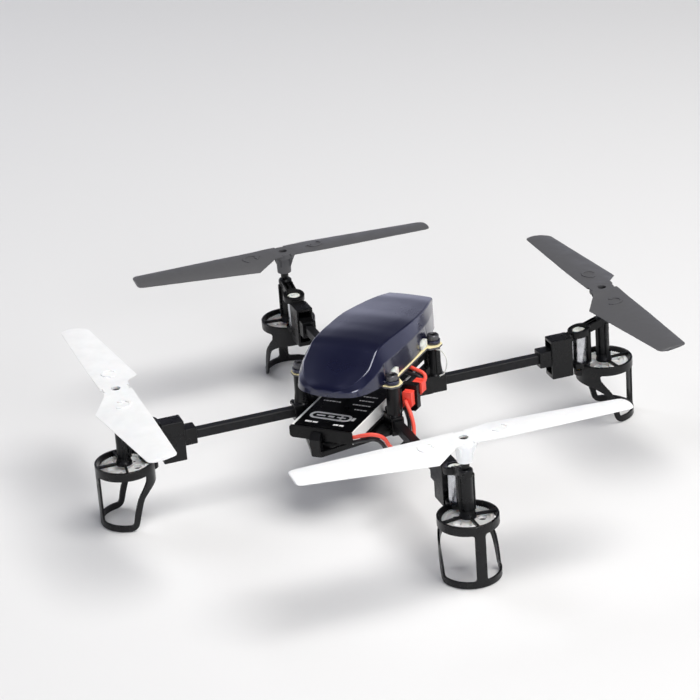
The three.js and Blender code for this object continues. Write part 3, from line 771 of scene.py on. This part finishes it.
def main_gear():
    """White spur gear: toothed rim, thin web with five windows, and a hub."""
    outline = toothed(GEAR_TEETH, MODULE, 10.1, 9.5, math.pi / GEAR_TEETH, (0.55, 1.15, 1.8))
    wheel = prism(outline, 22, 24.5)
    tools = [rod(0.8, 20, 26, sides=32)]
    for z0, z1 in ((21, 22.7), (23.9, 26)):
        tools.append(collar(2.4, 8.5, z0, z1, 0.3, 96))
    tools += [rod(1.75, 21, 26, x, y, sides=40) for x, y in circle(5.5, 5)]
    return carve(wheel, cut=tools)


def pinion():
    outline = toothed(PINION_TEETH, MODULE, 1.4, 0.87, 0, (4, 9, 15))
    shaft = rod(0.4, 24, 26.5, sides=24)
    return carve(prism(outline, 21.8, 24.6, 0.04), (shaft,), (rod(0.3, 21, 22.2, sides=24),))


def motor_can():
    """Coreless motor: drawn can with a rolled edge, two crimp dimples and a shoulder at its foot."""
    can = rod(3, 26.6, 39.6, sides=72, soft=0.3)
    foot = rod(1.2, 26.5, 27, sides=40, soft=0.1)
    groove = lathe(panel(2.93, 3.3, 38.6, 38.95, 0.06, 1))
    dimples = [moved(tilted(rod(0.45, 2.75, 4, sides=24), "Y", angle), z=37.4) for angle in (90, -90)]
    return carve(can, (foot,), (groove, *dimples))


def motor_cap():
    """White end cap with its bearing boss and the two tabs that the leads are soldered to."""
    cap = rod(2.75, 39.3, 41.2, sides=64, soft=0.25)
    boss = rod(1.1, 41, 41.6, sides=40, soft=0.12)
    tabs = [block(-0.9, 0.9, side * 1.9 - 0.2, side * 1.9 + 0.2, 41, 41.5, 0.06) for side in (-1, 1)]
    return carve(cap, (boss, *tabs), (rod(0.42, 41.2, 42, sides=20),))


def boom():
    """Square carbon tube, drawn from the centre of the body outwards."""
    first, last, half, wall = 24, BOOM_END, BOOM_HALF, 0.6
    outer = panel(-half, half, -half, half, 0.4)
    inner = [(y * (half - wall) / half, z * (half - wall) / half) for y, z in outer]
    tube = loft([[(x, y, BOOM_Z + z) for y, z in outer] for x in (first, last)], 0.06)
    hole = loft([[(x, y, BOOM_Z + z) for y, z in inner] for x in (first - 1, last + 1)])
    return carve(tube, cut=(hole,))


def make_arms():
    """Everything that the four arms share, built once and placed four times."""
    motor, cap, small = (moved(made, PINION_AT) for made in (motor_can(), motor_cap(), pinion()))
    shared = [
        ("motor_mount", motor_mount(), BLACK, "airframe"),
        ("landing_skid", landing_skid(), BLACK, "airframe"),
        ("motor", motor, CAN, "airframe"),
        ("motor_cap", cap, NYLON, "airframe"),
        ("boom", boom(), CARBON, "airframe"),
        ("main_gear", main_gear(), GEAR_WHITE, "rotor_unit"),
        ("rotor_shaft", rod(0.75, 21.2, 57, sides=36, soft=0.12), OXIDE, "rotor_unit"),
        ("shaft_collar", collar(0.8, 1.7, 45.7, 48.2, 0.25), BLACK, "rotor_unit"),
        ("pinion", small, BRASS, "pinion_unit"),
    ]
    for tag in TAGS:
        for part, thing, look, body in shared:
            extra = part == "motor_cap"  # the one piece with no CAD node of its own
            name = f"{part}_{tag}" if extra else f"{part}_fine_{tag}"
            rides_on = body if body == "airframe" else f"{body}_{tag}"
            at = turned_arm(tag) if part == "boom" else station(tag)
            keep(name, copied(thing), look, rides_on, () if extra else [f"{part}_{tag}"], at)
    for _, thing, *_ in shared:
        drop(thing)


make_arms()


# ---- body: drawn in the row frame ----
CORNERS = {tag: (math.copysign(1, HUBS[tag].x), math.copysign(1, HUBS[tag].y)) for tag in TAGS}
POSTS = [(sx * POST, sy * POST) for sx, sy in CORNERS.values()]
PLATE = (27.6, 30)
SOCKET_TOP = 35.2


def keel():
    """The base plate with its bow, nose strut and lightening windows."""
    side, strut, front = 21.1, 2.1, -51.5
    outline = [
        (-strut, front), (strut, front), (side, -23.6), (side, -17), (16, -12), (16, 12), (side, 17),
        (side, 21.5), (-side, 21.5), (-side, 17), (-16, 12), (-16, -12), (-side, -17), (-side, -23.6),
    ]
    plate = prism(fillet(outline, [0.8, 0.8] + [1.5] * 12, 4), *PLATE, 0.3)
    windows = [prism(fillet([(-3, -43.5), (3, -43.5), (11.5, -29), (-11.5, -29)], 1.2, 4), 26, 32)]
    for y0, y1 in ((-25, -7), (-2, 16)):
        windows.append(prism(panel(-12, 12, y0, y1, 1.5), 26, 32))
    face = fillet([(-2.1, 27.6), (2.1, 27.6), (1.3, 38), (-3, 38)], [0.5, 0.5, 0, 0], 4)
    slope = [(front - 1, 34.2), (-47.6, 38.2), (-47.6, 42), (front - 1, 42)]
    slope = loft([[(x, y, z) for y, z in slope] for x in (-6, 6)])
    nose = carve(slab(face, front, -48.6, 0.3), cut=(slope,))
    return plate, [nose], windows


def socket_and_pillar(sx, sy):
    """One boom socket with its web and fin, and the pillar that carries the control board."""
    turn = math.degrees(math.atan2(sy, sx))
    web = fillet([(21, 33), (29.6, 33), (29.6, 41.4), (25.2, 38.2), (21, 35.6)], [0, 0, 0.3, 3, 0.3], 6)
    fin = fillet([(28, 33), (32.6, 33), (32.6, 35.4), (31.6, 44), (28, 44)], [0, 0, 0.3, 0.8, 0], 4)
    parts = [
        block(23.3, 33.3, -2.7, 2.7, PLATE[0], SOCKET_TOP, 0.4),
        slab(web, -1.15, 1.15, 0.2),
        slab(fin, -0.5, 0.5, 0.18),
    ]
    parts = [moved(part, turn=turn) for part in parts]
    x, y = sx * POST, sy * POST
    parts.append(rod(2.8, 34.7, 47.9, x, y, 2.7, 64, 0.2))
    parts.append(lathe([(1.5, 34.9), (3.35, 35.05), (3.3, 35.5), (2.9, 36.1), (1.5, 36.2)], 64, x, y))
    rib = block(2.4, 3.35, -0.35, 0.35, 35, 46.9, 0.15)
    parts.append(moved(rib, x, y, turn=turn - 90 * sx * sy))
    half = BOOM_HALF + BOOM_CLEAR
    hole = moved(block(23.8, 34.5, -half, half, BOOM_Z - half, BOOM_Z + half, 0.35), turn=turn)
    return parts, [hole, rod(1.0, 38.9, 48.9, x, y, sides=32)]


def main_frame():
    plate, parts, tools = keel()
    for sx, sy in CORNERS.values():
        more, cuts = socket_and_pillar(sx, sy)
        parts += more
        tools += cuts
    for x in (-17.5, 17.5):
        parts.append(block(x - 0.9, x + 0.9, -19, 19, 37, 40, 0.25))
    parts.append(block(17.6, 19, 2.4, 18.4, 43.8, 47.85, 0.3))
    parts.append(block(17.2, 19.4, 17.8, 21.2, 36, 47.85, 0.3))
    parts.append(block(-26.5, -23.2, -20.6, -18.6, 33.4, 34.9, 0.3))
    keep("main_frame_fine", carve(plate, parts, tools), BLACK, stands_for=["main_frame"])


LIP = {"left": -13, "right": 14.8, "bottom": 33.4, "top": 38.9, "front": -48.3, "back": -47.45}


def battery_tray():
    """The tapering tray floor with its vents, the rear stop and the rounded lip at the nose."""
    low, high = 30.2, 31.6
    nose, half, back = LIP["back"], 14.3, 21
    outline = [(-4.6, nose), (4.6, nose), (half, -33), (half, back), (-half, back), (-half, -33)]
    floor = prism(fillet(outline, [0, 0, 2, 1, 1, 2], 5), low, high, 0.25)
    left, right, foot, top = LIP["left"], LIP["right"], LIP["bottom"], LIP["top"]
    corners = [(left, foot), (right, foot + 0.1), (right, top), (left, top)]
    lip = slab(fillet(corners, [1.5, 1.5, 0.8, 1.3], 7), LIP["front"], nose, 0.22)
    neck = block(-4.4, 1.2, LIP["front"], nose + 0.6, low, foot + 0.5, 0.2)
    stop = block(-9, 9, back - 1.2, back, low, 34.5, 0.25)
    tools = [prism(panel(-9, 9, y, y + 7, 1.2), low - 1, high + 1) for y in (-30, -19, -8, 3)]
    keep("battery_tray_fine", carve(floor, (lip, neck, stop), tools), TRAY_BLACK, stands_for=["battery_tray"])


def battery_pack():
    """A foil pouch with soft edges, a black patch of painted shade on its front end, a printed wrap and generic
    marks.
    """
    low, high = low_high("battery_pack")
    half = high.x
    middle = (low.z + high.z) / 2
    sections = []
    ends = [(0, 1.0), (0.25, 0.45), (0.9, 0.12), (1.8, 0), (60, 0), (62.6, 0.12), (63.7, 0.45), (64, 1.0)]
    for reach, pull in ends:
        side, foot, top = half - pull, low.z + pull, high.z - pull
        sections.append([(x, low.y + reach, z) for x, z in panel(-side, side, foot, top, 0.55, 5)])
    keep("battery_pouch", loft(sections), FOIL, stands_for=["battery_pack"])
    edge = [(-half + 1.5, low.y + 0.5), (half - 0.3, low.y + 0.5), (half - 0.3, 17), (-half + 0.8, 17)]
    wrap = prism(fillet(edge, 0.3, 3), high.z - 0.35, high.z + 0.06, 0.08)
    # a thin black patch on the pouch's front end: painted shade where the front end sits in shade
    front_shade_patch = block(6.4, half - 0.4, low.y - 0.06, low.y + 0.4, middle - 2.6, high.z - 0.5, 0.05)
    # the label's black wrap, packed with the painted-shade patch on the front end
    keep("battery_label", pack([wrap, front_shade_patch]), LABEL)
    keep("battery_label_marks", label_marks(high.z + 0.05), INK)


def label_marks(z):
    """Generic print: a cell outline with plus and minus signs, and plain bars where text would be."""
    top = z + 0.05

    def bar(x0, x1, y0, y1):
        return block(x0, x1, y0, y1, z, top, 0)

    cell_outer = panel(-9.9, 8.5, -37.8, -31.8, 2.9, 8)
    cell_inner = panel(-8.7, 7.3, -36.6, -33, 1.75, 8)
    marks = [carve(prism(cell_outer, z, top), cut=(prism(cell_inner, z - 1, top + 1),))]
    marks.append(bar(8.6, 9.9, -36.2, -33.4))
    marks.append(bar(-7, -3.2, -35.3, -34.3))
    marks.append(carve(bar(2, 5.8, -35.3, -34.3), (block(3.4, 4.4, -36.3, -33.3, z, top, 0),)))
    marks.append(bar(-1.9, 0.7, -35.5, -34.1))
    for x0, x1, y in ((-9.2, -6.2, -41.2), (-5.8, -3.6, -41.2), (3.4, 5.6, -41.4), (6, 7.9, -41.4)):
        marks.append(bar(x0, x1, y - 0.6, y + 0.6))
    for x0, x1, y in ((5.6, 11, -26), (3, 11, -21.8), (4, 10.8, -17.6), (4.1, 11, -13.7), (-10.3, 1.8, -21.4)):
        place = x0
        for wide in (0.7, 1.3, 0.9, 1.6, 0.6, 1.1):
            if place + wide > x1:
                break
            marks.append(bar(place, place + wide, y - 0.4, y + 0.4))
            place += wide + 0.3
    return pack(marks)


LEADS = {
    "battery_lead_red": [
        (9.6, -46.45, 36.1), (14.3, -46.5, 36.2), (18.3, -47, 37.7), (22.4, -46.8, 38.7), (25.2, -45.3, 37.9),
        (26.8, -43.4, 35.7), (27.3, -41, 31.9), (27.8, -37.4, 28.7), (28.8, -33.2, 27.2), (30.2, -29.6, 27.3),
        (31.3, -26.6, 29.2), (30.8, -24.6, 32.2), (29.4, -22.4, 35.1), (27.2, -20.2, 38.1), (25.4, -18.7, 39.9),
        (24.6, -17.4, 40.4),
    ],
    "battery_lead_black": [
        (9.6, -46.45, 34.2), (14, -46.5, 34.1), (17.6, -47, 35.4), (21.2, -46.7, 36.2), (23.8, -45, 35.7),
        (25.1, -43.1, 33.6), (25.6, -40.6, 30.2), (26, -37, 27.6), (27, -32.8, 26.6), (28, -28.4, 27.2),
        (28.4, -24.4, 29.4), (27.4, -21.2, 32.4), (25.8, -19.2, 35.2), (25, -18.6, 36.9), (24.6, -17.5, 37.9),
    ],
    "board_lead_red": [
        (17.8, 0.5, 47.1), (19.6, -0.2, 47.1), (22.4, -1.3, 46.9), (25, -2.2, 46.7), (26.9, -2.9, 45.9),
        (27.5, -4, 44.7), (27.4, -5.7, 43.6),
    ],
    "board_lead_black": [
        (17.4, -1.8, 45.4), (20.4, -2.4, 45.2), (23.2, -2.8, 45), (25.1, -3.3, 44.1), (25.7, -4.1, 42.6),
        (25.6, -5.2, 41.5),
    ],
}
ANTENNA = [
    (23, 18.3, 47.5), (25.4, 18.1, 47.2), (27.6, 17.6, 44.6), (27.8, 17.2, 41), (26.4, 17.4, 37.6),
    (24.2, 17.8, 35.9),
]


def leads():
    for name, points in LEADS.items():
        look = RED_LEAD if name.endswith("red") else BLACK_LEAD
        keep(f"{name}_fine", tube(points, 0.8), look, stands_for=[name])
    keep("antenna_wire_fine", tube(ANTENNA, 0.3, sides=12), NYLON, stands_for=["antenna_wire"])


def connectors():
    """The bracket and the red plug and socket that meet in it."""
    plate = fillet([(21.3, 34.4), (26.9, 34.4), (28, 35.5), (28, 45.9), (21.3, 45.9)], [0.3, 0.2, 0.2, 0.3, 0.3], 3)
    arm = block(18.7, 22, -13.2, -11, 36.6, 40.4, 0.25)
    window = block(23.6, 26.6, -15, -9, 37.6, 43.6, 0.3)
    bracket = carve(slab(plate, -13.7, -10.5, 0.22), (arm,), (window,))
    keep("connector_bracket_fine", bracket, BLACK, stands_for=["connector_bracket"])
    outline = fillet([(23.1, 36.9), (26.1, 36.9), (27.1, 37.9), (27.1, 44.1), (23.1, 44.1)], 0.25, 3)
    plug = slab(outline, -17.3, -14, 0.2)
    nose = block(24, 26.3, -14.3, -12.4, 38.2, 42.8, 0.2)
    ridge = block(24.2, 26, -16.6, -14.6, 43.9, 44.4, 0.15)
    entries = [moved(tilted(rod(1.05, 0, 2, sides=32), "X", 90), 24.6, -15.8, z) for z in (40.4, 37.9)]
    keep("battery_plug_fine", carve(plug, (nose, ridge), entries), RED, stands_for=["battery_plug"])
    outline = fillet([(24.5, 40.9), (25.3, 39.9), (27.6, 39.9), (28.7, 41), (28.7, 45.8), (24.5, 45.8)], 0.25, 3)
    socket = slab(outline, -10.3, -6, 0.2)
    throat = block(24.6, 26.3, -12.1, -10.1, 40.2, 43.2, 0.15)
    groove = block(24, 29, -8.4, -8.0, 45.5, 46.4, 0)
    keep("board_socket_fine", carve(socket, (throat,), (groove,)), RED, stands_for=["board_socket"])


def control_board():
    """Laminate board with eight-sided corner pads, a grey sawn edge, chips and solder joints."""
    low, high = low_high("control_board")
    half, reach = 20.2, 21.6
    pad = [(3.6, 1.1), (1.1, 3.5), (-2.6, 3.5), (-5.4, 0.8), (-5.4, -5.4), (0.8, -5.4), (3.6, -2.6)]

    def layer(z0, z1, shrink, soft):
        body = block(-half + shrink, half - shrink, -reach + shrink, reach - shrink, z0, z1, soft)
        pads = []
        shrunk = [[POST + c - math.copysign(shrink, c) for c in corner] for corner in pad]
        for sx, sy in CORNERS.values():
            around = [(sx * u, sy * v) for u, v in shrunk]
            pads.append(prism(around if sx * sy > 0 else around[::-1], z0, z1, soft))
        bores = [rod(1.1, z0 - 1, z1 + 1, x, y, sides=32) for x, y in POSTS]
        return carve(body, pads, bores)

    keep("control_board_core", layer(low.z, high.z - 0.28, 0, 0.05), BOARD_EDGE, stands_for=["control_board"])
    keep("control_board_top", layer(high.z - 0.3, high.z + 0.03, 0.03, 0.06), LAMINATE)
    chips, joints = [], []
    for x, y, wide, long, tall in ((-6, 4, 7, 7, 1), (6, -6, 5, 6.5, 1.2), (5, 9, 4, 4, 0.9), (-8, -10, 3, 6, 1.4)):
        for z0, z1 in ((low.z - tall, low.z + 0.05), (high.z, high.z + tall + 0.05)):
            chips.append(block(x - wide / 2, x + wide / 2, y - long / 2, y + long / 2, z0, z1, 0.12))
        legs = int(long / 0.8)
        for side in (-1, 1):
            for k in range(legs):
                at = y - long / 2 + 0.5 + k * 0.8
                edge = x + side * (wide / 2 + 0.3)
                joints.append(block(edge - 0.4, edge + 0.4, at - 0.16, at + 0.16, low.z - 0.3, low.z + 0.02, 0.05))
    for k in range(7):
        for x, wide, y, long in ((-14 + k * 2.1, 1, 15.2, 0.6), (-12 + k * 3.6, 0.8, -16.6, 0.5)):
            joints.append(block(x, x + wide, y, y + long, low.z - 0.5, low.z + 0.02, 0.08))
    keep("board_chips", pack(chips), CHIP)
    keep("board_joints", pack(joints), SOLDER)


def motor_plugs():
    """Slant-backed nylon plugs with two contact slots each, standing on the board."""
    for tag, (sx, sy) in CORNERS.items():
        low, high = low_high(f"motor_plug_{tag}")
        middle = (low + high) / 2
        profile = [(-2.4, low.z), (2.4, low.z), (2.4, high.z), (1.1, high.z), (-2.4, low.z + 1.7)]
        body = slab(fillet(profile, [0.15, 0.15, 0.35, 0.35, 0.3], 3), -1.9, 1.9, 0.15)
        slots = [block(0.7, 1.7, y - 0.35, y + 0.35, high.z - 0.7, high.z + 1, 0.1) for y in (-0.95, 0.95)]
        body = carve(body, cut=slots)
        at = Matrix.Translation((middle.x, middle.y, 0)) @ Matrix.Rotation(math.pi / 2, 4, "Z")
        keep(f"motor_plug_fine_{tag}", body, NYLON, stands_for=[f"motor_plug_{tag}"], place=at)


def screws():
    """Socket cap screws: knurled head, hex socket and a plain shank."""
    knurl = [polar(2.45 if i % 3 else 2.33, 2 * math.pi * i / 72) for i in range(72)]
    head = prism(knurl, 50.95, 52.75)
    rim = rod(2.38, 52.6, 53.15, top=2.2, sides=72, soft=0.1)
    shank = rod(0.85, 40.5, 51.2, sides=32)
    made = carve(head, (rim, shank), (prism(circle(1.2, 6), 51.9, 54), rod(1.5, 52.95, 54, top=1.9, sides=48)))
    for tag, (sx, sy) in CORNERS.items():
        at = Matrix.Translation((sx * POST, sy * POST, 0))
        keep(f"canopy_screw_fine_{tag}", copied(made), OXIDE, stands_for=[f"canopy_screw_{tag}"], place=at)
    drop(made)


main_frame()
battery_tray()
battery_pack()
leads()
connectors()
control_board()
motor_plugs()
screws()


# ---- canopy: half widths and heights at stations along Y, nose first ----
RIM = 49.2
TAIL = 46.35
HOOD_BASE = [
    (-40.3, 0.8), (-40.2, 2.6), (-39.8, 5.6), (-39, 8.6), (-38, 11), (-35.4, 14), (-31, 16.3), (-25.5, 17.9),
    (-12, 19.2), (0, 19.6), (12, 19.2), (24, 17.9), (34, 15.3), (TAIL, 10.9),
]
HOOD_CREASE = [
    (-40.3, 0.6), (-40.1, 3), (-39.8, 4.6), (-39.4, 5.8), (-39, 6.7), (-38, 8.3), (-36, 10.3), (-34, 11.9),
    (-31, 13.7), (-28, 14.7), (-20, 14.6), (-10, 15.05), (0, 15.5), (10, 15.75), (20, 15.1), (30, 13.8),
    (38, 12.1), (TAIL, 10),
]
HOOD_TOP = [
    (-40.3, 50), (-40.1, 51), (-39.8, 51.6), (-39.4, 52), (-39, 52.25), (-38, 52.75), (-36, 53.7), (-34, 54.8),
    (-31, 56.4), (-28, 58), (-24, 60.4), (-20, 62.5), (-15, 63.2), (-10, 63.2), (0, 62.75), (10, 62.2),
    (20, 61.2), (30, 60.2), (38, 59.4), (TAIL, 58),
]
SHELL_WALL = 1.0
REAR_FOOT = 33.5


def hood_section(y, inset):
    """One closed section of the hood: rim, side wall, shoulder, bevel, crease and crowned top."""
    base = max(smooth(HOOD_BASE, y) - inset, 0.3)
    crease = max(smooth(HOOD_CREASE, y) - inset, 0.25)
    top = max(smooth(HOOD_TOP, y) - inset, RIM + 0.15)
    shoulder_z = min(57.4 - inset, RIM + (top - RIM) * 0.6)
    shoulder = max(base - 0.07 * (shoulder_z - RIM) - 0.4, crease + 0.1)
    bottom = RIM - (3 if inset else 0)
    crown = 0.95 * min(1, crease / 8) * min(1, max(0.25, (TAIL - y) / 45))
    soft = min(1, (top - RIM) / 6)
    wall = [(base, bottom), (shoulder, shoulder_z), (crease, top), (crease * 0.6, top + crown * 0.62)]
    half = fillet(wall, [0, 2.2 * soft, 1.0 * soft, 0], 7)[:-1]
    steps = 12
    top_run = [(crease * k / steps, top + crown * (1 - (k / steps) ** 2)) for k in range(int(steps * 0.7), 0, -1)]
    half += top_run
    return [(x, y, z) for x, z in half] + [(0, y, top + crown)] + [(-x, y, z) for x, z in reversed(half)]


def hood(inset, front, back):
    """The solid hood between two stations, with close sections round the nose."""
    places = [front + step for step in (0, 0.06, 0.16, 0.32, 0.55, 0.85, 1.2, 1.65, 2.2, 2.9, 3.7, 4.6)]
    start = places[-1]
    count = 56
    places += [start + (back - start) * i / count for i in range(1, count + 1)]
    return loft([hood_section(y, inset) for y in places])


def rear_cut(shift):
    """Everything behind and below the slanted rear face, moved forward by the wall where shift is given."""
    top_y, top_z = TAIL - 0.6 - shift, 58.6
    foot_y, foot_z = REAR_FOOT - shift, 48
    run = (top_y - foot_y) / (top_z - foot_z)
    outline = [(foot_y - 8 * run, foot_z - 8), (top_y + 8 * run, top_z + 8), (90, top_z + 8), (90, foot_z - 8)]
    return loft([[(x, y, z) for y, z in outline] for x in (-40, 40)])


def canopy():
    outer = hood(0, -40.3, TAIL)
    inner = hood(SHELL_WALL, -39.25, TAIL - 0.2)
    recesses = [rod(4.0, 40, 57, x, y, sides=64) for x, y in POSTS]
    inner = carve(inner, cut=(rear_cut(SHELL_WALL * 1.5), *recesses))
    parts, fins, tools = [], [], [inner, rear_cut(0)]
    for sx, sy in CORNERS.values():
        x, y = sx * POST, sy * POST
        tools.append(rod(2.85, 50.8, 57.5, x, y, top=3.3, sides=64))
        tools.append(rod(1.1, 46, 52, x, y, sides=32))
        near, far = sorted((sx * 14.6, sx * 22.6))
        tools.append(block(near, far, sy * 14.4 - 2.7, sy * 14.4 + 2.7, RIM - 2, 53, 0.7))
        parts.append(rod(3, RIM + 0.05, 50.85, x, y, sides=64, soft=0.15))
        near, far = sorted((x, sx * 16.2))
        parts.append(block(near, far, y - 2.5, y + 2.5, RIM + 0.05, 50.75, 0.2))
        fin = [(x - sx * near_by, z) for near_by, z in ((4.3, 50.6), (2.5, 50.6), (2.7, 53.2), (3.9, 56.2))]
        fins.append(slab(fin, y - sy * 1.3 - 0.35, y - sy * 1.3 + 0.35, 0.1))
    shell = carve(carve(carve(outer, cut=tools[:2]), parts, tools[2:]), fins)
    keep("canopy_fine", shell, NAVY, stands_for=["canopy"])


canopy()
